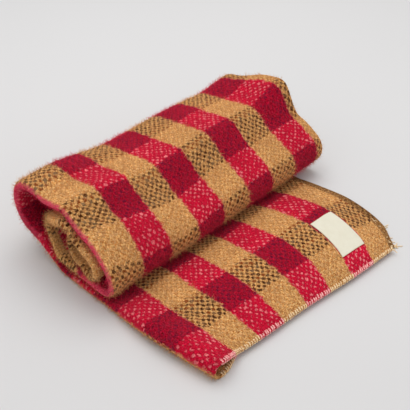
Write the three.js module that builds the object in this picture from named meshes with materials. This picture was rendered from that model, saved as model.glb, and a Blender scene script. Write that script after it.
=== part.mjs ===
// A woollen check blanket, folded in half along its length and rolled up loosely.
// Its outer end lies in front of the roll as a flap with a small cream label.
// Millimetres. X runs along the roll from the fold, Y from the flap to the roll, Z up.
import * as THREE from "three";

// The cloth
const CLOTH = 4; // thickness of one layer
const LAYER_GAP = 1.5; // between the two layers of the doubled cloth
const FREE_EDGE_Y = -12; // free edge of the flap at the fold
const FREE_EDGE_SKEW = 0.115; // how far the free edge runs forward for each mm along X
const FREE_EDGE_PULL = 7; // how far the lower layer stops short of the upper one
const FOLD_FORWARD = 12; // how far the fold reaches past the free edge
const LOWER_WIDER = 12; // how far the lower layer reaches past the upper at the open edge

// The flap
const FLAP_END_Y = 156; // where the roll begins
const FLAP_PUFF = 15; // air under the upper layer, at most
const PUFF_RUN = 184; // along the cloth, from the free edge to where the air ends
const PUFF_LOW_SIDE = 0.55; // share of the air at the fold side
const PUFF_DROP = 0.82; // place across the cloth where it begins to fall to the open edge
const PUFF_LOST = 0.75; // share of the air lost there
const LOOP_REACH = 0.14; // share of the width that the rounded fold takes

// The label
const LABEL = { width: 50, length: 72, thick: 1, clear: 0.4, across: 0.806, run: 59 };

// Fineness
const ARC_STEP = THREE.MathUtils.degToRad(24);
const RUN_STEP = 46;
const FLAP_STEP = 23;
const FOLD_STEPS = 6;
const ACROSS = [0, 0.05, 0.12, 0.24, 0.38, 0.54, 0.7, 0.82, 0.91, 1];

// The cloth goes round these corners in turn, from the table to the middle of the roll.
const CORNERS = [
  { name: "lower back", y: 262, z: 90, r: 88 },
  { name: "back", y: 352, z: 72, r: 38 },
  { name: "ridge", y: 258, z: 92, r: 30 },
  { name: "front", y: 189, z: 45, r: 30 },
  { name: "second back", y: 306, z: 60, r: 31 },
  { name: "second ridge", y: 256, z: 74, r: 31 },
  { name: "second front", y: 207, z: 48.5, r: 19.5 },
  { name: "third back", y: 288, z: 59, r: 17.5 },
  { name: "third ridge", y: 252, z: 71, r: 17.5 },
  { name: "third front", y: 225, z: 55.5, r: 10.5 },
];
const CORE_END = { y: 264, z: 58 };

// Where the fold and the open edges lie along X, by the length of cloth from the free edge
const EDGES = [
  { run: 0, fold: 8, open: 362 },
  { run: 40, fold: 3, open: 395 },
  { run: 100, fold: -3, open: 414 },
  { run: 150, fold: -6, open: 409 },
  { run: 190, fold: -8, open: 402 },
  { run: 300, fold: -8, open: 420 },
  { run: 440, fold: -7, open: 436 },
  { run: 600, fold: -8, open: 446 },
  { run: 780, fold: -8, open: 446 },
  { run: 880, fold: -11, open: 445 },
  { run: 960, fold: -14, open: 444 },
  { run: 1090, fold: -14, open: 442 },
  { run: 1200, fold: -10, open: 440 },
  { run: 1300, fold: -3, open: 436 },
  { run: 1500, fold: 4, open: 430 },
];

// How far the two layers stand apart where they fold
const LOOPS = [
  { run: 0, open: 16 },
  { run: 70, open: 12 },
  { run: 140, open: 6 },
  { run: 190, open: 0.6 },
  { run: 300, open: 0.6 },
  { run: 345, open: 0.6 },
  { run: 410, open: 5 },
  { run: 500, open: 3 },
  { run: 620, open: 2 },
  { run: 700, open: 3 },
  { run: 780, open: 0.4 },
  { run: 880, open: 1.5 },
  { run: 960, open: 4 },
  { run: 1060, open: 2 },
  { run: 1150, open: 0.4 },
  { run: 1500, open: 0 },
];

const smooth = (from, to, v) => {
  const t = THREE.MathUtils.clamp((v - from) / (to - from), 0, 1);
  return t * t * (3 - 2 * t);
};
const hump = (middle, reach, v) => Math.exp(-(((v - middle) / reach) ** 2));

// A column of a table at one place, eased from row to row
function along(table, run, column) {
  const last = table.length - 1;
  const at = (i) => table[THREE.MathUtils.clamp(i, 0, last)];
  const slope = (i) => {
    const gap = at(i + 1).run - at(i - 1).run;
    return gap > 0 ? (at(i + 1)[column] - at(i - 1)[column]) / gap : 0;
  };
  let i = 0;
  while (i < last - 1 && run > at(i + 1).run) i += 1;
  const reach = at(i + 1).run - at(i).run;
  const t = THREE.MathUtils.clamp((run - at(i).run) / reach, 0, 1);
  const rise = at(i + 1)[column] - at(i)[column];
  const a = slope(i) * reach;
  const b = slope(i + 1) * reach;
  return at(i)[column] + t * (a + t * (3 * rise - 2 * a - b + t * (a + b - 2 * rise)));
}

// The line of the outer layer as it winds round the corners: places with their heading
function winding() {
  const places = [];
  let run = 0;
  let from = { y: FREE_EDGE_Y, z: CLOTH / 2 };
  let heading = 0;
  const put = (y, z, turn, step) => {
    run += step;
    places.push({ y, z, heading: turn, run });
  };
  const straight = (to, turn) => {
    const length = Math.hypot(to.y - from.y, to.z - from.z);
    const steps = Math.max(1, Math.ceil(length / (run > 0 ? RUN_STEP : FLAP_STEP)));
    for (let k = 1; k <= steps; k += 1) {
      const t = k / steps;
      put(from.y + (to.y - from.y) * t, from.z + (to.z - from.z) * t, turn, length / steps);
    }
    from = to;
  };
  put(from.y, from.z, 0, 0);
  const rim = (c, turn) => ({ y: c.y + c.r * Math.sin(turn), z: c.z - c.r * Math.cos(turn) });
  CORNERS.forEach((corner, i) => {
    const before = CORNERS[i - 1] ?? { y: FREE_EDGE_Y, z: CLOTH / 2, r: 0 };
    const next = CORNERS[i + 1] ?? { ...CORE_END, r: 0 };
    const tangent = (a, b) => {
      const line = Math.atan2(b.z - a.z, b.y - a.y);
      const gap = Math.hypot(b.z - a.z, b.y - a.y);
      return line + Math.asin((a.r - b.r) / gap);
    };
    const forward = (turn) => {
      let t = turn;
      while (t < heading - 0.5) t += 2 * Math.PI;
      return t;
    };
    heading = forward(tangent(before, corner));
    straight(rim(corner, heading), heading);
    const out = forward(tangent(corner, next));
    const steps = Math.max(1, Math.ceil((out - heading) / ARC_STEP));
    for (let k = 1; k <= steps; k += 1) {
      const turn = heading + ((out - heading) * k) / steps;
      const p = rim(corner, turn);
      put(p.y, p.z, turn, (corner.r * (out - heading)) / steps);
    }
    heading = out;
    from = rim(corner, out);
  });
  straight(CORE_END, heading);
  return places;
}

// The roll settles: fuller at the fold end, hollow along its front, a step at its open end.
function settle(x, y, z) {
  const left = 1 - smooth(30, 165, x);
  const right = smooth(380, 456, x);
  const middle = (1 - left) * (1 - right);
  let swell = left * (0.12 + 0.15 * hump(190, 24, y) + 0.09 * smooth(300, 350, y));
  swell += right * (0.22 * smooth(216, 246, y) - 0.12 * smooth(280, 350, y));
  swell -= right * 0.05 * hump(213, 14, y);
  swell -= middle * 0.06 * hump(212, 26, y);
  swell += 0.016 * Math.sin(x / 38) * smooth(200, 260, y);
  const back = 0.1 * Math.max(0, y - 250) + 8 * hump(330, 30, y);
  return new THREE.Vector3(x, y - left * back, z * (1 + swell));
}

// How far apart the middles of the two layers lie
function apart(across, run) {
  const air = run < PUFF_RUN ? Math.sin((Math.PI * run) / PUFF_RUN) : 0;
  const side = PUFF_LOW_SIDE + (1 - PUFF_LOW_SIDE) * smooth(0, 0.7, across);
  const puff = FLAP_PUFF * air * side * (1 - PUFF_LOST * smooth(PUFF_DROP, 1, across));
  const loop = along(LOOPS, run, "open") * (1 - smooth(0, LOOP_REACH, across));
  return CLOTH + LAYER_GAP + puff + loop;
}

// A point of the cloth: its place, how far across, how far in from the outer layer,
// how far out past the fold, and which layer it is on (0 outer, 1 inner).
function cloth(place, across, inward, past, layer) {
  const fold = along(EDGES, place.run, "fold");
  const open = along(EDGES, place.run, "open");
  const wide = open - fold + (1 - layer) * LOWER_WIDER;
  const x = fold + across * wide - past;
  let y = place.y - inward * Math.sin(place.heading);
  const z = place.z + inward * Math.cos(place.heading);
  const flap = FLAP_END_Y - y;
  if (flap > 0 && place.run < PUFF_RUN) {
    y -= (flap * FREE_EDGE_SKEW * Math.max(0, x)) / (FLAP_END_Y - FREE_EDGE_Y);
    const pull = (1 - layer) * FREE_EDGE_PULL * smooth(0.04, 0.2, across);
    y += (pull - FOLD_FORWARD * (1 - smooth(0, 0.13, across))) * (1 - smooth(0, 60, place.run));
  }
  return settle(x, y, z);
}

// One station of the doubled cloth: its outline outside and inside, from the outer
// layer's open edge round the fold to the inner layer's open edge
function station(place) {
  const outside = [];
  const inside = [];
  const half = CLOTH / 2;
  [...ACROSS].reverse().forEach((w) => {
    outside.push(cloth(place, w, -half, 0, 0));
    inside.push(cloth(place, w, half, 0, 0));
  });
  const d = apart(0, place.run);
  for (let k = 1; k < FOLD_STEPS; k += 1) {
    const turn = Math.PI * (k / FOLD_STEPS - 0.5);
    const round = (r) => [d / 2 + r * Math.sin(turn), r * Math.cos(turn)];
    outside.push(cloth(place, 0, ...round(d / 2 + half), k / FOLD_STEPS));
    inside.push(cloth(place, 0, ...round(d / 2 - half), k / FOLD_STEPS));
  }
  ACROSS.forEach((w) => {
    const far = apart(w, place.run);
    outside.push(cloth(place, w, far + half, 0, 1));
    inside.push(cloth(place, w, far - half, 0, 1));
  });
  return { outside, inside };
}

// A closed body from rings of points that follow each other, with flat strips at its ends
function skin(rings) {
  const count = rings[0].length;
  const points = rings.flat();
  const index = [];
  const quad = (a, b, c, d) => index.push(a, b, c, a, c, d);
  for (let i = 0; i + 1 < rings.length; i += 1) {
    for (let k = 0; k < count; k += 1) {
      const next = (k + 1) % count;
      quad(i * count + k, i * count + next, (i + 1) * count + next, (i + 1) * count + k);
    }
  }
  const end = (rings.length - 1) * count;
  for (let k = 0; k + 1 < count / 2; k += 1) {
    const mate = count - 1 - k;
    quad(k, mate, mate - 1, k + 1);
    quad(end + k, end + k + 1, end + mate - 1, end + mate);
  }
  const geometry = new THREE.BufferGeometry().setFromPoints(points);
  geometry.setIndex(index);
  geometry.computeVertexNormals();
  return geometry;
}

function blanketBody() {
  const rings = winding().map((place) => {
    const { outside, inside } = station(place);
    return [...outside, ...inside.reverse()];
  });
  return skin(rings);
}

// The label lies on the upper layer of the flap and follows its arch.
function labelBody() {
  const steps = 7;
  const lanes = 5;
  const wide = along(EDGES, LABEL.run, "open") - along(EDGES, LABEL.run, "fold");
  const rings = [];
  for (let i = 0; i <= steps; i += 1) {
    const run = LABEL.run + LABEL.length * (i / steps - 0.5) * 0.9;
    const place = { y: FREE_EDGE_Y + run, z: CLOTH / 2, heading: 0, run };
    const lower = [];
    const upper = [];
    for (let k = 0; k <= lanes; k += 1) {
      const w = LABEL.across + (LABEL.width / wide) * (k / lanes - 0.5);
      const rest = apart(w, run) + CLOTH / 2 + LABEL.clear;
      lower.push(cloth(place, w, rest, 0, 1));
      upper.push(cloth(place, w, rest + LABEL.thick, 0, 1));
    }
    rings.push([...upper, ...lower.reverse()]);
  }
  return skin(rings);
}

function piece(name, geometry, colour, roughness) {
  const material = new THREE.MeshStandardMaterial({ color: colour, roughness });
  const mesh = new THREE.Mesh(geometry, material);
  mesh.name = name;
  return mesh;
}

const blanket = piece("blanket", blanketBody(), 0xb1543f, 0.95);
const label = piece("label", labelBody(), 0xe9dcc0, 0.9);

// The origin lies under the middle of the whole.
const group = new THREE.Group();
group.add(blanket, label);
const box = new THREE.Box3().setFromObject(group);
const middle = box.getCenter(new THREE.Vector3());
[blanket, label].forEach((mesh) => mesh.geometry.translate(-middle.x, -middle.y, -box.min.z));

export default group;
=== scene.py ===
# %% [markdown]
# # A rolled woollen blanket
# The blanket is one piece of thick check wool. It is folded in half along its length, and then wound
# up, so each turn of the roll is two layers. Its outer end lies in front of the roll as a flap, and a
# bare cream label is sewn to the flap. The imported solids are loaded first, because they fix the size
# and the place of everything that follows.

import bpy
import numpy as np
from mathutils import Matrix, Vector


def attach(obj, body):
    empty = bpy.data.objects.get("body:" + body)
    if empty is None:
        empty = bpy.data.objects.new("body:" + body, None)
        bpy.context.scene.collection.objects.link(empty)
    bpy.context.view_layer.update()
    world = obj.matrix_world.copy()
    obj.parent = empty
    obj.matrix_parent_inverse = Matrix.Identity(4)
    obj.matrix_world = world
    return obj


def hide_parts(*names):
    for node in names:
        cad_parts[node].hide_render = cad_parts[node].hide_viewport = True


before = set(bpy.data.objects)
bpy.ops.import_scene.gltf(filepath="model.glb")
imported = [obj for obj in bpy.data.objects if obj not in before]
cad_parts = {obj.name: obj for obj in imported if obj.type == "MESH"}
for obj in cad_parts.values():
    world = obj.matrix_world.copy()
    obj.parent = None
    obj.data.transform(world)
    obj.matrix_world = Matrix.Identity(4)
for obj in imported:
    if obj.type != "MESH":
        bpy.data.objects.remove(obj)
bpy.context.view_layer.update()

# %% [markdown]
# ## How the cloth is wound
# Seen from its end, the cloth follows one path: flat under the roll, round a big back corner, over the
# top, round the nose, and then inwards. Corners are circles, and straight tangents join them, so the
# path is a belt round ten pulleys. A drawn curve would do as well, but circles keep the bends of real
# cloth, and they are the sizes that the solids were made from. All sizes here are in millimetres.

# %% Sizes of the winding
MM = 0.001
ROLL_MIDDLE = (218.9, 169.1)
CLOTH = 4.0
LAYER_GAP = 1.5
FREE_EDGE_Y = -12.0
FLAP_END_Y = 156.0
# y, z and radius of each corner that the outer layer's middle line goes round
CORNERS = [
    (262, 90, 88), (352, 72, 38), (258, 92, 30), (189, 45, 30), (306, 60, 31),
    (256, 74, 31), (207, 48.5, 19.5), (288, 59, 17.5), (252, 71, 17.5), (225, 55.5, 10.5),
]
CORE_END = (264, 58, 0)
# along the path: x of the fold and x of the open edge
EDGES = np.array([
    (0, 8, 362), (40, 3, 395), (100, -3, 414), (150, -6, 409), (190, -8, 402), (300, -8, 420),
    (440, -7, 436), (600, -8, 446), (780, -8, 446), (880, -11, 445), (960, -14, 444),
    (1090, -14, 442), (1200, -10, 440), (1300, -3, 436), (1500, 4, 430),
])
# along the path: how far the fold's loop stands open
LOOPS = np.array([
    (0, 16), (70, 12), (140, 6), (190, 0.6), (300, 0.6), (345, 0.6), (410, 5), (500, 3), (620, 2),
    (700, 3), (780, 0.4), (880, 1.5), (960, 4), (1060, 2), (1150, 0.4), (1500, 0),
])


def smooth(low, high, value):
    """0 below low, 1 above high, and an easy rise between them."""
    t = np.clip((np.asarray(value, float) - low) / (high - low), 0, 1)
    return t * t * (3 - 2 * t)


def hump(middle, reach, value):
    return np.exp(-(((value - middle) / reach) ** 2))


def along(table, run, column):
    """A soft curve through one column of a table whose first column is the run along the path."""
    at, values = table[:, 0], table[:, column]
    slopes = np.empty(len(at))
    slopes[1:-1] = (values[2:] - values[:-2]) / (at[2:] - at[:-2])
    slopes[0] = (values[1] - values[0]) / (at[1] - at[0])
    slopes[-1] = (values[-1] - values[-2]) / (at[-1] - at[-2])
    run = np.asarray(run, float)
    i = np.clip(np.searchsorted(at, run) - 1, 0, len(at) - 2)
    reach = at[i + 1] - at[i]
    t = np.clip((run - at[i]) / reach, 0, 1)
    rise = values[i + 1] - values[i]
    a, b = slopes[i] * reach, slopes[i + 1] * reach
    return values[i] + t * (a + t * (3 * rise - 2 * a - b + t * (a + b - 2 * rise)))


# %% The path, as rows of y, z, heading and run
RUN_STEP = 6.0
ARC_STEP = np.radians(9)


def tangent(a, b):
    """Heading of the straight that leaves circle a and meets circle b."""
    gap = np.hypot(b[0] - a[0], b[1] - a[1])
    return np.arctan2(b[1] - a[1], b[0] - a[0]) + np.arcsin((a[2] - b[2]) / gap)


def rim(circle, heading):
    y, z, radius = circle
    return np.array([y + radius * np.sin(heading), z - radius * np.cos(heading)])


def turned_on(heading, before):
    while heading < before - 0.5:
        heading += 2 * np.pi
    return heading


def wind():
    stops = [(FREE_EDGE_Y, CLOTH / 2, 0)] + CORNERS + [CORE_END]
    rows = [(FREE_EDGE_Y, CLOTH / 2, 0.0, 0.0)]
    heading = 0.0
    for i in range(1, len(stops)):
        heading = turned_on(tangent(stops[i - 1], stops[i]), heading)
        start, end = rim(stops[i - 1], heading), rim(stops[i], heading)
        length = np.hypot(*(end - start))
        for t in np.linspace(0, 1, max(2, int(length / RUN_STEP) + 2))[1:]:
            y, z = start + (end - start) * t
            rows.append((y, z, heading, rows[-1][3] + np.hypot(y - rows[-1][0], z - rows[-1][1])))
        if i == len(stops) - 1:
            break
        leaving = turned_on(tangent(stops[i], stops[i + 1]), heading)
        base = rows[-1][3]
        for turn in np.linspace(heading, leaving, int((leaving - heading) / ARC_STEP) + 2)[1:]:
            rows.append((*rim(stops[i], turn), turn, base + stops[i][2] * (turn - heading)))
        heading = leaving
    return np.array(rows)


PATH = wind()
print("the path has", len(PATH), "rows and is", round(PATH[-1, 3]), "mm long")

# %% [markdown]
# ## How the layers lie
# The second layer rides on the first. Air lifts it on the flap, and the fold stands open as a loop at
# the front corner. A second step lets the whole roll settle: the ends swell, the back sinks a little.
# Cloth simulation could find such a shape, but not this one, so the moves are written down instead.

# %% Place of any point of the cloth
FREE_EDGE_SKEW = 0.115
FREE_EDGE_PULL = 7.0
FOLD_FORWARD = 12.0
LOWER_WIDER = 14.0
FLAP_PUFF = 15.0
PUFF_RUN = 184.0
PUFF_LOW_SIDE = 0.55
PUFF_DROP = 0.82
PUFF_LOST = 1.0
LOOP_REACH = 0.14
LEFT_END = (30, 165)
RIGHT_END = (380, 456)


def settle(x, y, z):
    """Swells the two ends of the roll and lets its back sink, each by its own hump."""
    left = 1 - smooth(*LEFT_END, x)
    right = smooth(*RIGHT_END, x)
    middle = (1 - left) * (1 - right)
    swell = left * (0.12 + 0.15 * hump(190, 24, y) + 0.09 * smooth(300, 350, y))
    swell = swell + right * (0.22 * smooth(216, 246, y) - 0.12 * smooth(280, 350, y))
    swell = swell - right * 0.05 * hump(213, 14, y) - middle * 0.06 * hump(212, 26, y)
    swell = swell + 0.016 * np.sin(x / 38) * smooth(200, 260, y)
    back = 0.1 * np.maximum(0, y - 250) + 8 * hump(330, 30, y)
    return np.stack([x, y - left * back, z * (1 + swell)], -1)


def apart(across, run):
    """From the middle of the outer layer to the middle of the inner one."""
    air = np.where(run < PUFF_RUN, np.sin(np.pi * run / PUFF_RUN), 0)
    side = PUFF_LOW_SIDE + (1 - PUFF_LOW_SIDE) * smooth(0, 0.7, across)
    puff = FLAP_PUFF * air * side * (1 - PUFF_LOST * smooth(PUFF_DROP, 1, across))
    loop = along(LOOPS, run, 1) * (1 - smooth(0, LOOP_REACH, across))
    return CLOTH + LAYER_GAP + puff + loop


def lay(rows, across, inward, past, layer):
    """Points of the cloth: across 0 is the fold and 1 the open edge, layer 0 is the outer half."""
    y0, z0, heading, run = (rows[..., k] for k in range(4))
    fold, opened = along(EDGES, run, 1), along(EDGES, run, 2)
    x = fold + across * (opened - fold + (1 - layer) * LOWER_WIDER) - past
    y = y0 - inward * np.sin(heading)
    z = z0 + inward * np.cos(heading)
    flap = FLAP_END_Y - y
    skew = flap * FREE_EDGE_SKEW * np.maximum(0, x) / (FLAP_END_Y - FREE_EDGE_Y)
    pull = (1 - layer) * FREE_EDGE_PULL * smooth(0.04, 0.2, across)
    pull = pull - FOLD_FORWARD * (1 - smooth(0, 0.13, across))
    on_flap = (flap > 0) & (run < PUFF_RUN)
    y = np.where(on_flap, y - skew + pull * (1 - smooth(0, 60, run)), y)
    return settle(x, y, z)


def cloth_middle(rows, across, layer):
    """The middle of the cloth: layer goes from 0 to 1 round the fold, where across is 0."""
    gap = apart(across, rows[..., 3])
    turn = np.pi * (layer - 0.5)
    return lay(rows, across, gap / 2 + gap / 2 * np.sin(turn), gap / 2 * np.cos(turn), layer)


def to_part(points):
    """From the roll's millimetres to the frame's metres."""
    return (points - np.array([*ROLL_MIDDLE, 0.0])) * MM


# %% [markdown]
# ## The flat cloth
# A woollen blanket starts as a flat length of check cloth, so the piece starts as a flat grid. Its UV
# map is made while it is flat, in metres of cloth, and the check pattern will follow the cloth into
# every fold. The columns are closer at the fold, where the cloth bends most.

# %% A flat grid at the cloth's own size
STRIPE = 54.0
CHECK_ROW = 55.0
OUTER_STRIPES = 8.26
INNER_STRIPES = 7.98
LAYER_COLUMNS = 60
FOLD_COLUMNS = 13

spread = np.linspace(0, 1, LAYER_COLUMNS) ** 1.25
fold_turn = np.linspace(0, 1, FOLD_COLUMNS)[1:-1]
ACROSS = np.concatenate([spread[::-1], 0 * fold_turn, spread])
LAYER = np.concatenate([0 * spread, fold_turn, 1 + 0 * spread])

# the fold was not made quite along a stripe: how far off it is on the outer turn and further in
FOLD_OFF_OUTER = 2.5
FOLD_OFF_INNER = -15.0
FOLD_OFF_ENDS = (0.04, 0.22)
OUTER_TURN_BEGINS = (300, 400)
INNER_TURNS_BEGIN = (790, 850)


def stripe_place(rows, across, layer):
    """Place across the flat cloth, measured from the fold: the outer half is negative."""
    run = rows[..., 3]
    half = np.pi / 4 * apart(0, run)
    outer = -half - across * (OUTER_STRIPES * STRIPE - half)
    inner = half + across * (INNER_STRIPES * STRIPE - half)
    place = np.where(layer == 0, outer, np.where(layer == 1, inner, half * (2 * layer - 1)))
    off = FOLD_OFF_OUTER * smooth(*OUTER_TURN_BEGINS, run)
    off = off + (FOLD_OFF_INNER - FOLD_OFF_OUTER) * smooth(*INNER_TURNS_BEGIN, run)
    return place + off * (1 - smooth(*FOLD_OFF_ENDS, across))


PLACE = stripe_place(PATH[:, None, :], ACROSS[None, :], LAYER[None, :])

bpy.ops.object.select_all(action="DESELECT")
bpy.ops.mesh.primitive_grid_add(x_subdivisions=len(ACROSS) - 1, y_subdivisions=len(PATH) - 1, size=1)
blanket = bpy.context.object
blanket.name = "blanket_cloth"
blanket.data.name = "blanket_cloth"


def coordinates(mesh):
    flat = np.empty(len(mesh.vertices) * 3)
    mesh.vertices.foreach_get("co", flat)
    return flat.reshape(-1, 3)


grid = coordinates(blanket.data)
column = np.round((grid[:, 0] + 0.5) * (len(ACROSS) - 1)).astype(int)
row = np.round((grid[:, 1] + 0.5) * (len(PATH) - 1)).astype(int)
print("flat grid", len(ACROSS), "by", len(PATH), "points")

# %% The cloth's own map, in metres
ROW_DRIFT = 20.0
ROW_DRIFT_AT_FOLD = -13.0
ROW_DRIFT_BEGINS = (190, 420)
ROW_EARLY = 30.0
ROW_EARLY_RUN = (488.0, 50.0)


def row_place(run, across):
    """How far along the weave a point is: the rows drift a little, most of all near the fold."""
    started = smooth(*ROW_DRIFT_BEGINS, run)
    near_fold = (1 - smooth(0.25, 0.6, across)) * smooth(-0.04, 0.16, across)
    early = ROW_EARLY * hump(*ROW_EARLY_RUN, run) * (0.5 + 0.5 * smooth(0, 0.08, across))
    early = early * (1 - 0.85 * smooth(0.14, 0.5, across))
    return run + started * (ROW_DRIFT + ROW_DRIFT_AT_FOLD * near_fold) + early


def map_cloth(mesh, places):
    """Gives the mesh a UV map from each point's place on the flat cloth, in millimetres."""
    corner = np.empty(len(mesh.loops), int)
    mesh.loops.foreach_get("vertex_index", corner)
    layer = mesh.uv_layers.get("flat_cloth") or mesh.uv_layers.new(name="flat_cloth")
    layer.data.foreach_set("uv", (places[corner] * MM).ravel())


run_of = PATH[row, 3]
for old in list(blanket.data.uv_layers):
    blanket.data.uv_layers.remove(old)
map_cloth(blanket.data, np.stack([PLACE[row, column], row_place(run_of, ACROSS[column])], -1))

# %% [markdown]
# ## Fold and roll
# Each point of the flat grid now moves to its place in the roll. On top of that come the small dents
# and soft ridges of a blanket that has been handled. They are listed one by one, each with its own
# size, and they push the cloth along its own normal.

# %% Fold and roll the grid
# place across the cloth, run, reach across, reach along, turn in degrees, height
RUMPLES = [
    (-412, 560, 26, 60, 20, -4.5), (-372, 640, 30, 42, -35, -2.6), (-428, 690, 24, 40, 10, 2.2),
    (-300, 520, 40, 22, 15, 1.6), (-215, 640, 55, 26, -12, -1.8), (-150, 560, 44, 24, 18, 1.7),
    (-96, 660, 38, 20, -20, -1.8), (-250, 720, 60, 22, 8, -1.5), (-60, 590, 34, 26, 12, 1.5),
    (60, 96, 46, 20, 24, -1.6), (150, 70, 60, 24, -14, 1.5), (235, 128, 52, 26, 10, -1.7),
    (262, 34, 30, 18, 30, 1.4), (110, 150, 60, 18, 6, 1.6),
]
EDGE_WAVE = 1.0
CORE_NOSE_Y = 212
SECOND_TURN = (800, 900, 1060, 1110)
THIRD_TURN = (1110, 1200)


def crush(points, run):
    """Draws the inner turns forward and in where they show, at the fold end of the roll."""
    x, y, z = points[..., 0], points[..., 1], points[..., 2]
    shown = 1 - smooth(20, 150, x)
    second = smooth(*SECOND_TURN[:2], run) * (1 - smooth(*SECOND_TURN[2:], run)) * shown
    third = smooth(*THIRD_TURN, run) * shown
    behind = np.maximum(0, y - CORE_NOSE_Y)
    return np.stack([
        x + second * 12 * smooth(270, 325, y) + third * 5,
        y - behind * (0.1 * second + 0.4 * third),
        z + third * 3 * np.sin(y / 9),
    ], -1)


def rumple(place, run):
    height = 0
    for u, v, wide, long, turn, rise in RUMPLES:
        c, s = np.cos(np.radians(turn)), np.sin(np.radians(turn))
        a, b = (place - u) * c + (run - v) * s, (run - v) * c - (place - u) * s
        height = height + rise * hump(0, wide, a) * hump(0, long, b)
    return height


def points_of_grid():
    """The rolled cloth as rows and columns of points, pushed along its normals by the dents."""
    rows, across, layer = PATH[:, None, :], ACROSS[None, :], LAYER[None, :]
    points = crush(cloth_middle(rows, across, layer), rows[..., 3])
    edge = 1 - smooth(0, 26, rows[..., 3])
    points[..., 1] += EDGE_WAVE * edge * np.sin(points[..., 0] / 31 + 2.2 * layer)
    normals = np.cross(np.gradient(points, axis=1), np.gradient(points, axis=0))
    normals /= np.linalg.norm(normals, axis=-1, keepdims=True)
    return points + normals * rumple(PLACE, rows[..., 3])[..., None]


rolled = points_of_grid()
blanket.data.vertices.foreach_set("co", to_part(rolled[row, column]).ravel())
blanket.data.update()

thicken = blanket.modifiers.new("cloth thickness", "SOLIDIFY")
thicken.thickness = CLOTH * MM
thicken.offset = 0
flat_faces = len(blanket.data.polygons)
bpy.ops.object.modifier_apply(modifier=thicken.name)
bpy.ops.object.shade_smooth_by_angle(angle=np.radians(50))
print("rolled cloth", len(blanket.data.polygons), "faces")

# %% [markdown]
# ## Shader maths
# A weave is arithmetic: which end and which pick a point is on, and which of the two is on top. Written
# node by node that is hard to read, so one small class wraps a socket and lets Python's own signs add
# the Math nodes.

# %% A socket that does sums


class Wire:
    """One socket of a material, so that an expression on values adds its Math nodes."""

    def __init__(self, tree, socket):
        self.tree = tree
        self.socket = socket

    def node(self, kind, settings=None, values=None, out=0):
        """Adds a node: its settings first, and then its sockets' values or links."""
        made = self.tree.nodes.new(kind)
        for name, setting in (settings or {}).items():
            setattr(made, name, setting)
        for key, value in (values or {}).items():
            if isinstance(value, Wire):
                self.tree.links.new(value.socket, made.inputs[key])
            else:
                made.inputs[key].default_value = value
        return Wire(self.tree, made.outputs[out])

    def maths(self, operation, *values):
        return self.node("ShaderNodeMath", {"operation": operation}, dict(enumerate(values)))

    def __add__(self, other):
        return self.maths("ADD", self, other)

    def __sub__(self, other):
        return self.maths("SUBTRACT", self, other)

    def __mul__(self, other):
        return self.maths("MULTIPLY", self, other)

    def __truediv__(self, other):
        return self.maths("DIVIDE", self, other)

    def __lt__(self, other):
        return self.maths("LESS_THAN", self, other)

    def __gt__(self, other):
        return self.maths("GREATER_THAN", self, other)

    def __rsub__(self, other):
        return self.maths("SUBTRACT", other, self)

    __radd__ = __add__
    __rmul__ = __mul__

    def floor(self):
        return self.maths("FLOOR", self)

    def fraction(self):
        return self.maths("FRACT", self)

    def wave(self):
        """A sine that changes sign at every whole number."""
        return self.maths("SINE", self * np.pi)

    def least(self, other):
        return self.maths("MINIMUM", self, other)

    def rise(self, low, high):
        """0 below low, 1 above high, and an easy rise between them."""
        limits = {"Value": self, "From Min": low, "From Max": high}
        return self.node("ShaderNodeMapRange", {"interpolation_type": "SMOOTHSTEP"}, limits)

    def pick(self, off, on):
        """A colour: off where this is 0, on where it is 1."""
        return self.node("ShaderNodeMix", {"data_type": "RGBA"}, {0: self, 6: off, 7: on}, out=2)


def colour(red, green, blue):
    """A screen colour from 0 to 255 as the linear colour that a shader takes."""
    tone = np.array([red, green, blue]) / 255
    linear = np.where(tone <= 0.04045, tone / 12.92, ((tone + 0.055) / 1.055) ** 2.4)
    return (*[float(c) for c in linear], 1.0)


def new_material(name):
    """A material with its shader, and a wire that adds nodes to it."""
    material = bpy.data.materials.new(name)
    material.use_nodes = True
    tree = material.node_tree
    shader = tree.nodes["Principled BSDF"]
    return material, shader, Wire(tree, None)


def plug(wire, shader, socket):
    wire.tree.links.new(wire.socket, shader.inputs[socket])


# %% [markdown]
# ## Check wool
# The cloth is woven from thick, hairy yarn. Its warp is in red and camel stripes, and its weft is in
# light and dark rows, so there are four kinds of check. The warp lies on top, and the weft shows
# through as flecks: pale pink on red, dark brown on camel. An image could carry this, but numbers keep
# it sharp at any size. The yarns wander a little, and no two flecks are alike.

# %% Yarn sizes and colours
ENDS_IN_STRIPE = 11
PICKS_IN_ROW = 11
END = STRIPE / ENDS_IN_STRIPE
PICK = CHECK_ROW / PICKS_IN_ROW
FIRST_ROW = 52.0
EDGE_DARKER = 0.14
DARK_EDGE_INNER = INNER_STRIPES * STRIPE - 5
DARK_EDGE_OUTER = OUTER_STRIPES * STRIPE - 12
DARK_EDGE_SOFT = 3
FLAP_ENDS = (190, 260)
# the crease at the end of the roll: where it begins and ends, across the cloth and along it
CREASE_ACROSS = (-3.0, 0.0, 4.0, 10.0)
CREASE_ALONG = (330.0, 420.0, 790.0, 850.0)
# size and detail of each noise, in waves to the metre
SWAY_NOISE = (85, 3)
SHAKE_NOISE = (300, 2)
HAIR_NOISE = (560, 5)
STREAK_NOISE = (470, 4)
VEIL_NOISE = (190, 5)
DRIFT_NOISE = (14, 2)
CREASE_NOISE = (60, 3)
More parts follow.
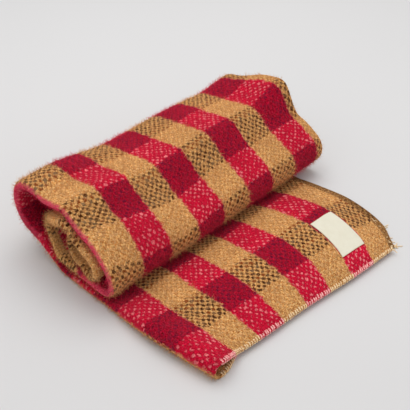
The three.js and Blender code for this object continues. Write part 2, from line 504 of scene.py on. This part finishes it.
# how strongly the weft shows in each kind of check
SHOWN_RED_DARK = 0.66
SHOWN_RED_LIGHT = 0.92
SHOWN_CAMEL_DARK = 1.2
SHOWN_CAMEL_LIGHT = 0.42
WANDER = 6.5
FINE_WANDER = 3.2
RAGGED = 0.65
RED_DARK_DEEP = colour(132, 0, 22)
RED_DARK_PALE = colour(196, 6, 52)
RED_LIGHT_DEEP = colour(186, 4, 36)
RED_LIGHT_PALE = colour(226, 20, 62)
CAMEL_DARK_DEEP = colour(186, 118, 58)
CAMEL_DARK_PALE = colour(242, 190, 118)
CAMEL_LIGHT_DEEP = colour(206, 124, 48)
CAMEL_LIGHT_PALE = colour(255, 206, 134)
FLECK_RED_DARK = colour(84, 6, 46)
FLECK_RED_LIGHT = colour(252, 132, 136)
FLECK_CAMEL_DARK = colour(74, 38, 12)
FLECK_CAMEL_LIGHT = colour(152, 84, 32)
FLECK_SLATE = colour(114, 86, 58)
FLECK_RUST = colour(138, 66, 20)
NAP_RED = colour(222, 30, 66)
NAP_CAMEL = colour(238, 194, 142)
JOIN_FUZZ = colour(226, 128, 116)
# dark brown of the open edges: the selvedge's own yarn, with painted shade of the gap between the
# layers
SELVEDGE_AND_GAP_SHADE = colour(104, 72, 36)
CREASE_PINK = colour(240, 84, 112)


# %% The weave, as a material


def check_wool():
    material, shader, start = new_material("check_wool")
    cloth_map = start.node("ShaderNodeUVMap", {"uv_map": "flat_cloth"})

    def parts(vector):
        return [vector.node("ShaderNodeSeparateXYZ", None, {0: vector}, out=k) for k in range(3)]

    def noise(scale, detail, out=0):
        values = {"Vector": cloth_map, "Scale": scale, "Detail": detail, "Roughness": 0.6}
        return cloth_map.node("ShaderNodeTexNoise", {"noise_dimensions": "2D"}, values, out=out)

    def chance(a, b):
        """A number from 0 to 1 that is the same all over one yarn or one crossing."""
        place = cloth_map.node("ShaderNodeCombineXYZ", None, {0: a, 1: b})
        return cloth_map.node("ShaderNodeTexWhiteNoise", {"noise_dimensions": "2D"}, {"Vector": place})

    u, v, _ = parts(cloth_map)
    sway_u, sway_v, sway_c = parts(noise(*SWAY_NOISE, out=1))
    shake_u, shake_v, _ = parts(noise(*SHAKE_NOISE, out=1))
    hair = noise(*HAIR_NOISE)
    u = u * 1000
    v = v * 1000
    end = (u + (sway_u - 0.5) * WANDER + (shake_u - 0.5) * FINE_WANDER) / END
    pick = (v - FIRST_ROW + (sway_v - 0.5) * WANDER + (shake_v - 0.5) * FINE_WANDER) / PICK

    ragged_end = end + (chance(pick.floor(), 11.0) - 0.5) * RAGGED + (hair - 0.5) * 3 * RAGGED
    ragged_pick = pick + (chance(end.floor(), 13.0) - 0.5) * RAGGED + (hair - 0.5) * 3 * RAGGED
    is_red = (ragged_end / (2 * ENDS_IN_STRIPE)).fraction() < 0.5
    in_row = (pick / PICKS_IN_ROW).fraction()
    is_dark = (ragged_pick / (2 * PICKS_IN_ROW)).fraction() < 0.5
    red_light, red_dark = is_red * (1 - is_dark), is_red * is_dark
    camel_light, camel_dark = (1 - is_red) * (1 - is_dark), (1 - is_red) * is_dark
    from_row_edge = in_row.least(1 - in_row) * PICKS_IN_ROW
    in_stripe = (end / ENDS_IN_STRIPE).fraction()
    from_stripe_edge = in_stripe.least(1 - in_stripe) * ENDS_IN_STRIPE

    crossing = chance(end.floor(), pick.floor())
    one_pick = chance(pick.floor(), 7.0)
    one_end = chance(end.floor(), 3.0)
    over = end.wave() * pick.wave()
    at_edge = 1 - from_row_edge.rise(0.6, 1.3)
    fuller = 1 + camel_dark * 1.8 + at_edge * 0.9
    blurred = (hair - 0.5) * (2.6 - red_light * 1.3 - camel_dark * 0.7)
    fleck = over * fuller + (crossing - 0.5) * 0.9 + blurred - red_light * 0.2 + camel_dark * 0.14
    fleck = fleck.rise(0.14, 0.66)

    camel_deep = is_dark.pick(CAMEL_LIGHT_DEEP, CAMEL_DARK_DEEP)
    camel_pale = is_dark.pick(CAMEL_LIGHT_PALE, CAMEL_DARK_PALE)
    red_deep = is_dark.pick(RED_LIGHT_DEEP, RED_DARK_DEEP)
    red_pale = is_dark.pick(RED_LIGHT_PALE, RED_DARK_PALE)
    streak = noise(*STREAK_NOISE).rise(0.34, 0.66)
    warp = streak.pick(is_red.pick(camel_deep, red_deep), is_red.pick(camel_pale, red_pale))
    brown = one_pick.rise(0.66, 0.7).pick(FLECK_CAMEL_DARK, FLECK_RUST)
    brown = ((chance(pick.floor(), 5.0) > 0.8) * (crossing > 0.5)).pick(brown, FLECK_SLATE)
    weft_camel = is_dark.pick(FLECK_CAMEL_LIGHT, brown)
    weft_red = is_dark.pick(FLECK_RED_LIGHT, FLECK_RED_DARK)
    weft = is_red.pick(weft_camel, weft_red)
    on_red = red_dark * SHOWN_RED_DARK + red_light * SHOWN_RED_LIGHT
    on_camel = camel_dark * SHOWN_CAMEL_DARK + camel_light * SHOWN_CAMEL_LIGHT
    shown = fleck * (on_red + on_camel) * (0.7 + crossing * 0.45)
    tone = shown.least(1.0).pick(warp, weft)

    drift = noise(*DRIFT_NOISE)
    veil = noise(*VEIL_NOISE).rise(0.44, 0.7) * (0.4 - camel_dark * 0.2 - is_red * 0.08)
    tone = veil.pick(tone, is_red.pick(NAP_CAMEL, NAP_RED))
    join = (1 - from_stripe_edge.rise(0.05, 0.36)) * 0.3
    tone = join.pick(tone, JOIN_FUZZ)
    # Open edges turn dark brown, most of all on the flap: partly the selvedge's own yarn, partly
    # painted shade of the gap between the two layers.
    inner_edge = u.rise(DARK_EDGE_INNER, DARK_EDGE_INNER + DARK_EDGE_SOFT)
    outer_edge = (0 - u).rise(DARK_EDGE_OUTER, DARK_EDGE_OUTER + DARK_EDGE_SOFT)
    on_flap = 1 - v.rise(*FLAP_ENDS) * 0.85
    tone = ((inner_edge + outer_edge) * on_flap * hair.rise(0.2, 0.65)).pick(tone, SELVEDGE_AND_GAP_SHADE)
    crease = u.rise(*CREASE_ACROSS[:2]) * (1 - u.rise(*CREASE_ACROSS[2:]))
    crease = crease * v.rise(*CREASE_ALONG[:2]) * (1 - v.rise(*CREASE_ALONG[2:]))
    crease = crease * noise(*CREASE_NOISE).rise(0.3, 0.5) * (0.45 + hair * 0.6)
    tone = crease.pick(tone, CREASE_PINK)
    # darker over the last 20 mm before the free edge
    darker_free_edge = (1 - v.rise(3, 20)) * EDGE_DARKER
    shade = 0.76 - darker_free_edge + hair.rise(0.3, 0.7) * 0.46 + (drift - 0.5) * 0.26 + (one_end - 0.5) * 0.12
    grey = shade.node("ShaderNodeCombineColor", None, {0: shade, 1: shade, 2: shade})
    settings = {"data_type": "RGBA", "blend_type": "MULTIPLY"}
    tone = tone.node("ShaderNodeMix", settings, {0: 1.0, 6: tone, 7: grey}, out=2)
    plug(tone, shader, "Base Color")

    yarn = end.wave().maths("ABSOLUTE", end.wave()) * (1 - fleck.least(1.0)) * 0.35 + fleck * 0.6
    height = yarn + hair * 0.75 + sway_c * 0.3
    bump = height.node("ShaderNodeBump", None, {"Strength": 0.9, "Distance": 0.0026, "Height": height})
    plug(bump, shader, "Normal")
    shader.inputs["Roughness"].default_value = 0.96
    shader.inputs["Specular IOR Level"].default_value = 0.05
    shader.inputs["Sheen Weight"].default_value = 0.1
    shader.inputs["Sheen Roughness"].default_value = 0.45
    shader.inputs["Sheen Tint"].default_value = colour(255, 190, 190)
    return material


wool = check_wool()
blanket.data.materials.append(wool)
print("check wool has", len(wool.node_tree.nodes), "nodes")

# %% [markdown]
# ## Nap
# Woollen cloth is brushed, so fine hairs stand up from it and blur its outline. A hair system would do
# for a picture, but it isn't a mesh that can be carried elsewhere. Here each hair is a thin spike of
# four triangles. Thousands of them come from a seeded draw over the faces that show, in one mesh. Hairs
# are paler than the yarn that they come from, and the cloth's own map tells each which stripe it is on.

# %% Hairs on the faces that show
HAIRS = 49000
HAIR_LENGTH = (3.5, 10.0)
HAIR_WIDTH = 0.45
HAIR_RISE = (0.3, 0.95)
HAIR_RED = colour(204, 28, 66)
HAIR_CAMEL = colour(214, 158, 100)
HAIR_SUNK = 0.5
FLAP_SHARE = 0.6
# what shows: runs of the outer turn and the flap, and how far from the fold the loops are seen
OUTSIDE_RUN = (330, 850)
FLAP_RUN = 196
FOLD_REACH = 26
# the patch under the label stays free of hairs: its middle on the flat cloth, and half its size
LABEL_PLACE = 349.0
LABEL_MIDDLE = 59.0
LABEL_BARE = (31.0, 41.0)
draw = np.random.default_rng(11)


def face_table(mesh):
    """Centre, normal, area and first corner of each face."""
    count = len(mesh.polygons)
    centre, normal, area = np.empty(count * 3), np.empty(count * 3), np.empty(count)
    first = np.empty(count, int)
    mesh.polygons.foreach_get("center", centre)
    mesh.polygons.foreach_get("normal", normal)
    mesh.polygons.foreach_get("area", area)
    mesh.polygons.foreach_get("loop_start", first)
    return centre.reshape(-1, 3), normal.reshape(-1, 3), area, first


def corner_tables(mesh):
    places = np.empty(len(mesh.loops) * 2)
    mesh.uv_layers["flat_cloth"].data.foreach_get("uv", places)
    corner = np.empty(len(mesh.loops), int)
    mesh.loops.foreach_get("vertex_index", corner)
    return places.reshape(-1, 2) / MM, corner


def shows(place, run):
    """Share of hairs on the outside of the roll, the top of the flap, and the folds; 0 elsewhere."""
    outside = (place < 0) & (run > OUTSIDE_RUN[0]) & (run < OUTSIDE_RUN[1])
    flap = (place > 0) & (run < FLAP_RUN)
    folds = np.abs(place) < FOLD_REACH
    bare = np.abs(place - LABEL_PLACE) < LABEL_BARE[0]
    bare = bare & (np.abs(run - LABEL_MIDDLE) < LABEL_BARE[1])
    share = np.where(outside | folds, 1.0, FLAP_SHARE * flap)
    return np.where(bare & flap, 0, share)


def roots(mesh, count):
    """Seeded places on the faces that show: point, normal and place on the flat cloth."""
    centre, normal, area, first = face_table(mesh)
    places, corner = corner_tables(mesh)
    middle = (places[first] + places[first + 2]) / 2
    outer_side = np.arange(len(area)) < flat_faces
    chosen_side = outer_side if outside_is_first(centre, normal) else ~outer_side
    weight = area * shows(middle[:, 0], middle[:, 1]) * chosen_side
    face = draw.choice(len(area), count, p=weight / weight.sum())
    points = coordinates(mesh)
    a, b = draw.random((2, count, 1))
    corners = [points[corner[first[face] + k]] for k in range(4)]
    maps = [places[first[face] + k] for k in range(4)]
    mixes = [(1 - a) * (1 - b), a * (1 - b), a * b, (1 - a) * b]
    at = sum(m * c for m, c in zip(mixes, corners))
    place = sum(m * c for m, c in zip(mixes, maps))
    return at, normal[face], place


def outside_is_first(centre, normal):
    """True where the first shell of faces is the one on the outside of the roll."""
    top = np.argmax(centre[:flat_faces, 2])
    return normal[top, 2] > 0


def hair_mesh(at, normal, place):
    count = len(at)
    lean = draw.normal(size=(count, 3))
    lean -= normal * np.sum(lean * normal, axis=1, keepdims=True)
    lean /= np.linalg.norm(lean, axis=1, keepdims=True)
    side = np.cross(normal, lean)
    length = draw.uniform(*HAIR_LENGTH, (count, 1)) * MM
    rise = draw.uniform(*HAIR_RISE, (count, 1))
    tip = at + length * (normal * rise + lean * np.sqrt(1 - rise**2))
    tip[:, 2] = np.maximum(tip[:, 2], HAIR_WIDTH * MM)
    base = at - normal * HAIR_SUNK * MM
    base[:, 2] = np.maximum(base[:, 2], HAIR_WIDTH * MM)
    half = HAIR_WIDTH / 2 * MM
    corners = [base + half * side, base - half * side, base - 1.7 * half * lean, tip]
    points = np.stack(corners, 1).reshape(-1, 3)
    start = 4 * np.arange(count)[:, None]
    sides = [(0, 1, 2), (1, 0, 3), (2, 1, 3), (0, 2, 3)]
    faces = np.concatenate([start + np.array([side_corners]) for side_corners in sides])
    mesh = bpy.data.meshes.new("nap")
    mesh.from_pydata(points.tolist(), [], faces.tolist())
    map_cloth(mesh, np.repeat(place, 4, axis=0))
    return mesh


def loose_hair():
    material, shader, start = new_material("loose_hair")
    cloth_map = start.node("ShaderNodeUVMap", {"uv_map": "flat_cloth"})
    u = cloth_map.node("ShaderNodeSeparateXYZ", None, {0: cloth_map}) * 1000
    is_red = (u / (2 * STRIPE)).fraction() < 0.5
    plug(is_red.pick(HAIR_CAMEL, HAIR_RED), shader, "Base Color")
    shader.inputs["Roughness"].default_value = 0.9
    return material


nap = bpy.data.objects.new("nap", hair_mesh(*roots(blanket.data, HAIRS)))
bpy.context.collection.objects.link(nap)
nap.data.materials.append(loose_hair())
print("nap has", len(nap.data.polygons), "triangles")

# %% [markdown]
# ## Edge stitches
# The cut end of the cloth is overcast: a pale yarn goes round the edge of each layer, stitch after
# stitch. One stitch is a short bent tube. Its path is written once, in steps out of the edge and up
# from the cloth, and repeated along both layers with small seeded changes.

# %% Overcast stitches along the free edge
STITCH_STEP = 4.15
STITCH_RADIUS = 1.15
STITCH_PATH = np.array([
    (-4.4, 1.9), (-2.4, 3.0), (-0.2, 2.6), (0.8, 0.2), (-0.4, -1.6), (-3.4, -1.2),
])
STITCH_SLANT = 1.2
TUBE_SIDES = 5


def tubes(name, paths, radius):
    """Closed tubes along paths that all have the same number of points, joined in one mesh."""
    count, length = paths.shape[:2]
    ahead = np.gradient(paths, axis=1)
    ahead /= np.linalg.norm(ahead, axis=-1, keepdims=True)
    side = np.cross(ahead, np.array([0.31, 0.52, 0.79]))
    side /= np.linalg.norm(side, axis=-1, keepdims=True)
    up = np.cross(side, ahead)
    angle = np.linspace(0, 2 * np.pi, TUBE_SIDES, endpoint=False)
    ring = [np.cos(t) * side + np.sin(t) * up for t in angle]
    points = (paths[:, :, None] + radius * np.stack(ring, 2)).reshape(-1, 3)
    faces = []
    for tube in range(count):
        base = tube * length * TUBE_SIDES
        for k in range(length - 1):
            low = base + k * TUBE_SIDES
            for s in range(TUBE_SIDES):
                n = (s + 1) % TUBE_SIDES
                faces.append((low + s, low + n, low + n + TUBE_SIDES, low + s + TUBE_SIDES))
        faces.append(tuple(base + s for s in reversed(range(TUBE_SIDES))))
        faces.append(tuple(base + (length - 1) * TUBE_SIDES + s for s in range(TUBE_SIDES)))
    mesh = bpy.data.meshes.new(name)
    mesh.from_pydata(points.tolist(), [], faces)
    piece = bpy.data.objects.new(name, mesh)
    bpy.context.collection.objects.link(piece)
    return piece


def edge_frame(layer):
    """Points of the free edge of one layer, evenly spaced, with the ways out, up and along."""
    columns = np.where(LAYER == layer)[0]
    order = columns[np.argsort(ACROSS[columns])]
    edge, behind = rolled[0, order], rolled[2, order]
    place = PLACE[0, order]
    length = np.concatenate([[0], np.cumsum(np.linalg.norm(np.diff(edge, axis=0), axis=1))])
    at = np.arange(2.0, length[-1] - 1, STITCH_STEP)

    def even(values):
        return np.stack([np.interp(at, length, values[:, k]) for k in range(values.shape[1])], 1)

    edge, behind, place = even(edge), even(behind), np.interp(at, length, place)
    out = edge - behind
    out /= np.linalg.norm(out, axis=1, keepdims=True)
    ahead = np.gradient(edge, axis=0)
    ahead /= np.linalg.norm(ahead, axis=1, keepdims=True)
    up = np.cross(out, ahead)
    up *= np.sign(up[:, 2:])
    return edge, out, up, ahead, place


def stitch_paths(layer):
    edge, out, up, ahead, place = edge_frame(layer)
    count = len(edge)
    reach = 1 + 0.18 * draw.normal(size=(count, 1, 1))
    slant = STITCH_SLANT * np.linspace(1, -1, len(STITCH_PATH))[None, :, None]
    steps = STITCH_PATH[None, :, 0:1] * reach
    rises = STITCH_PATH[None, :, 1:2] * (1 + 0.06 * draw.normal(size=(count, 1, 1)))
    shift = 0.5 * draw.normal(size=(count, 1, 1))
    paths = edge[:, None] + out[:, None] * steps + up[:, None] * rises
    paths = paths + ahead[:, None] * (slant + shift)
    paths[..., 2] = np.maximum(paths[..., 2], STITCH_RADIUS)
    return paths, place


upper_paths, upper_place = stitch_paths(1)
lower_paths, lower_place = stitch_paths(0)
both_paths = to_part(np.concatenate([upper_paths, lower_paths]))
stitches = tubes("edge_stitches", both_paths, STITCH_RADIUS * MM)
stitch_points = len(STITCH_PATH) * TUBE_SIDES
stitch_place = np.repeat(np.concatenate([upper_place, lower_place]), stitch_points)
map_cloth(stitches.data, np.stack([stitch_place, 0 * stitch_place], -1))
print("edge stitches", len(both_paths))

# %% [markdown]
# ## Loose threads
# At the right front corner the edge has begun to fray, and a few short yarn ends stand out of it. They
# are thin tubes with a seeded bend each, and they start inside the cloth so that none floats.

# %% Frayed ends at the right corner
FRAYS = 30
FRAY_LENGTH = (3.0, 9.0)
FRAY_RADIUS = 0.6
FRAY_POINTS = 6
FRAY_RUN = 70


def fray_paths(layer, count):
    """Yarn ends that leave the open edge of one layer near its front corner."""
    edge_column = np.where(LAYER == layer)[0]
    open_column = edge_column[np.argmax(ACROSS[edge_column])]
    rows_used = np.where(PATH[:, 3] < FRAY_RUN)[0]
    line = rolled[rows_used, open_column]
    at = len(line) * draw.random(count) ** 2.4 * 0.9
    root = np.stack([np.interp(at, np.arange(len(line)), line[:, k]) for k in range(3)], 1)
    length = draw.uniform(*FRAY_LENGTH, (count, 1, 1))
    way = np.stack([0.9 + 0.2 * draw.normal(size=count), -0.5 + 0.6 * draw.normal(size=count)], 1)
    way /= np.linalg.norm(way, axis=1, keepdims=True)
    bend = draw.normal(size=(count, 2))
    t = np.linspace(-0.25, 1, FRAY_POINTS)[None, :, None]
    flat_way = way[:, None] * t + 0.35 * bend[:, None] * np.maximum(t, 0) ** 2
    paths = np.repeat(root[:, None], FRAY_POINTS, axis=1)
    paths[..., :2] += length * flat_way
    paths[..., 2] -= (length * np.maximum(t, 0) ** 2)[..., 0] * draw.uniform(0.1, 0.5, (count, 1))
    paths[..., 2] = np.maximum(paths[..., 2], 2 * FRAY_RADIUS)
    return paths


fray_points = np.concatenate([fray_paths(1, FRAYS // 2), fray_paths(0, FRAYS // 2)])
frays = tubes("loose_threads", to_part(fray_points), FRAY_RADIUS * MM)
fray_place = np.full(len(frays.data.vertices), -STRIPE / 2)
map_cloth(frays.data, np.stack([fray_place, 0 * fray_place], -1))
print("loose threads", len(fray_points))

# %% Pale yarn for the stitches
PALE_PINK = colour(255, 196, 190)
PALE_CAMEL = colour(252, 226, 178)


def pale_yarn():
    material, shader, start = new_material("pale_yarn")
    cloth_map = start.node("ShaderNodeUVMap", {"uv_map": "flat_cloth"})
    u = cloth_map.node("ShaderNodeSeparateXYZ", None, {0: cloth_map}) * 1000
    is_red = (u / (2 * STRIPE)).fraction() < 0.5
    spot = start.node("ShaderNodeTexCoord", out=3)
    twist = spot.node("ShaderNodeTexNoise", None, {"Vector": spot, "Scale": 700, "Detail": 3})
    tone = is_red.pick(PALE_CAMEL, PALE_PINK)
    deep = is_red.pick(CAMEL_DARK_DEEP, RED_LIGHT_PALE)
    plug(twist.rise(0.25, 0.6).pick(deep, tone), shader, "Base Color")
    bump = twist.node("ShaderNodeBump", None, {"Strength": 0.6, "Distance": 0.0005, "Height": twist})
    plug(bump, shader, "Normal")
    shader.inputs["Roughness"].default_value = 0.95
    shader.inputs["Sheen Weight"].default_value = 0.25
    return material


yarn = pale_yarn()
stitches.data.materials.append(yarn)
frays.data.materials.append(yarn)

# %% [markdown]
# ## The label
# A bare woven label lies on the flap. It is a small flat sheet that follows the swell of the cloth
# under it, so it starts as a grid, is laid on the flap's own formula, and then gets its thickness.

# %% A grid laid on the flap
LABEL_WIDTH = 50.0
LABEL_LENGTH = 72.0
LABEL_THICK = 1.0
LABEL_CLEAR = 0.4
LABEL_ACROSS = 0.806
LABEL_RUN = 59.0
LABEL_RUN_SHARE = 0.9
LABEL_STEPS = (24, 36)

bpy.ops.object.select_all(action="DESELECT")
bpy.ops.mesh.primitive_grid_add(x_subdivisions=LABEL_STEPS[0], y_subdivisions=LABEL_STEPS[1], size=1)
label = bpy.context.object
label.name = "label_patch"
label.data.name = "label_patch"
flat = coordinates(label.data)[:, :2]


def label_points(side, length, lift):
    """Points over the flap: side and length go from -0.5 to 0.5 over the label."""
    run = LABEL_RUN + LABEL_LENGTH * length * LABEL_RUN_SHARE
    rows = np.stack([FREE_EDGE_Y + run, 0 * run + CLOTH / 2, 0 * run, run], -1)
    wide = along(EDGES, run, 2) - along(EDGES, run, 1)
    across = LABEL_ACROSS + LABEL_WIDTH / wide * side
    inward = apart(across, run) + CLOTH / 2 + LABEL_CLEAR + lift
    return lay(rows, across, inward, 0, 1)


laid = label_points(flat[:, 0], flat[:, 1], LABEL_THICK / 2)
label.data.vertices.foreach_set("co", to_part(laid).ravel())
for old in list(label.data.uv_layers):
    label.data.uv_layers.remove(old)
map_cloth(label.data, flat * np.array([LABEL_WIDTH, LABEL_LENGTH]))
label_layer = label.modifiers.new("label thickness", "SOLIDIFY")
label_layer.thickness = LABEL_THICK * MM
label_layer.offset = 0
bpy.ops.object.modifier_apply(modifier=label_layer.name)
bpy.ops.object.shade_smooth_by_angle(angle=np.radians(50))
print("label", len(label.data.polygons), "faces")

# %% Cream woven tape
CREAM = colour(236, 232, 214)
CREAM_DEEP = colour(208, 200, 172)
TAPE_PITCH = 0.9


def cream_tape():
    material, shader, start = new_material("cream_tape")
    cloth_map = start.node("ShaderNodeUVMap", {"uv_map": "flat_cloth"})
    u = cloth_map.node("ShaderNodeSeparateXYZ", None, {0: cloth_map}) * 1000
    v = cloth_map.node("ShaderNodeSeparateXYZ", None, {0: cloth_map}, out=1) * 1000
    weave = (u / TAPE_PITCH).wave() * (v / TAPE_PITCH).wave()
    soil = cloth_map.node("ShaderNodeTexNoise", None, {"Vector": cloth_map, "Scale": 60, "Detail": 4})
    edge = (LABEL_WIDTH / 2 - u.maths("ABSOLUTE", u)).least(LABEL_LENGTH / 2 - v.maths("ABSOLUTE", v))
    fold_line = (1 - edge.rise(0.4, 1.6)) * 0.5
    shade = (weave * 0.16 + soil * 0.5 + fold_line).least(1.0)
    plug(shade.pick(CREAM, CREAM_DEEP), shader, "Base Color")
    bump = weave.node("ShaderNodeBump", None, {"Strength": 0.5, "Distance": 0.0004, "Height": weave})
    plug(bump, shader, "Normal")
    shader.inputs["Roughness"].default_value = 0.85
    return material


label.data.materials.append(cream_tape())

# %% [markdown]
# ## Floor, light and camera
# The blanket lies on a pale studio floor under wide soft light, so shadows are faint but for the
# one under the roll's nose. A large area lamp gives that light, and a pale world fills it in.

# %% A pale floor
FLOOR_SIZE = 60
FLOOR_GREY = colour(211, 210, 210)
FLOOR_PALE = colour(215, 214, 214)
bpy.ops.object.select_all(action="DESELECT")
bpy.ops.mesh.primitive_plane_add(size=FLOOR_SIZE, location=(0, 0, 0))
floor = bpy.context.object
floor.name = "floor"
material, shader, start = new_material("pale_floor")
spot = start.node("ShaderNodeTexCoord", out=3)
cloud = spot.node("ShaderNodeTexNoise", None, {"Vector": spot, "Scale": 1.5, "Detail": 2})
plug(cloud.pick(FLOOR_GREY, FLOOR_PALE), shader, "Base Color")
shader.inputs["Roughness"].default_value = 0.9
floor.data.materials.append(material)

# %% Soft light
ROOM_LIGHT = 0.72
LAMP_SIZE = 1.8
LAMP_POWER = 22
LAMP_PLACE = (0.25, 0.35, 1.9)
world = bpy.data.worlds.new("pale_room")
bpy.context.scene.world = world
world.use_nodes = True
background = world.node_tree.nodes["Background"]
background.inputs["Color"].default_value = colour(250, 250, 250)
background.inputs["Strength"].default_value = ROOM_LIGHT


def lamp(name, size, power, place, aim):
    light = bpy.data.lights.new(name, "AREA")
    light.size = size
    light.energy = power
    lit = bpy.data.objects.new(name, light)
    lit.location = place
    lit.rotation_euler = (Vector(aim) - Vector(place)).to_track_quat("-Z", "Y").to_euler()
    bpy.context.collection.objects.link(lit)


lamp("overhead", LAMP_SIZE, LAMP_POWER, LAMP_PLACE, (0, 0, 0))
bpy.context.scene.view_settings.view_transform = "Standard"

# %% Camera
CAMERA_PLACE = (-0.6679, -0.5981, 0.757)
CAMERA_AIM = (0.0347, 0.0687, 0)
CAMERA_LENS = 64.98
view = bpy.data.cameras.new("camera")
view.lens = CAMERA_LENS
view.sensor_width = 36
camera = bpy.data.objects.new("camera", view)
camera.location = CAMERA_PLACE
ahead = Vector(CAMERA_AIM) - Vector(CAMERA_PLACE)
camera.rotation_euler = ahead.to_track_quat("-Z", "Y").to_euler()
bpy.context.collection.objects.link(camera)
bpy.context.scene.camera = camera

# %% [markdown]
# ## The body that each piece rides on
# Every piece rides on the one fixed body. The cloth and the label stand for their solids, which are
# hidden.

# %% Bodies, and the solids hidden
wool_pieces = [blanket, nap, stitches, frays]
for piece, slot in [*((each, "wool") for each in wool_pieces), (label, "label")]:
    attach(piece, "root")
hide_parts("blanket")
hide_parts("label")
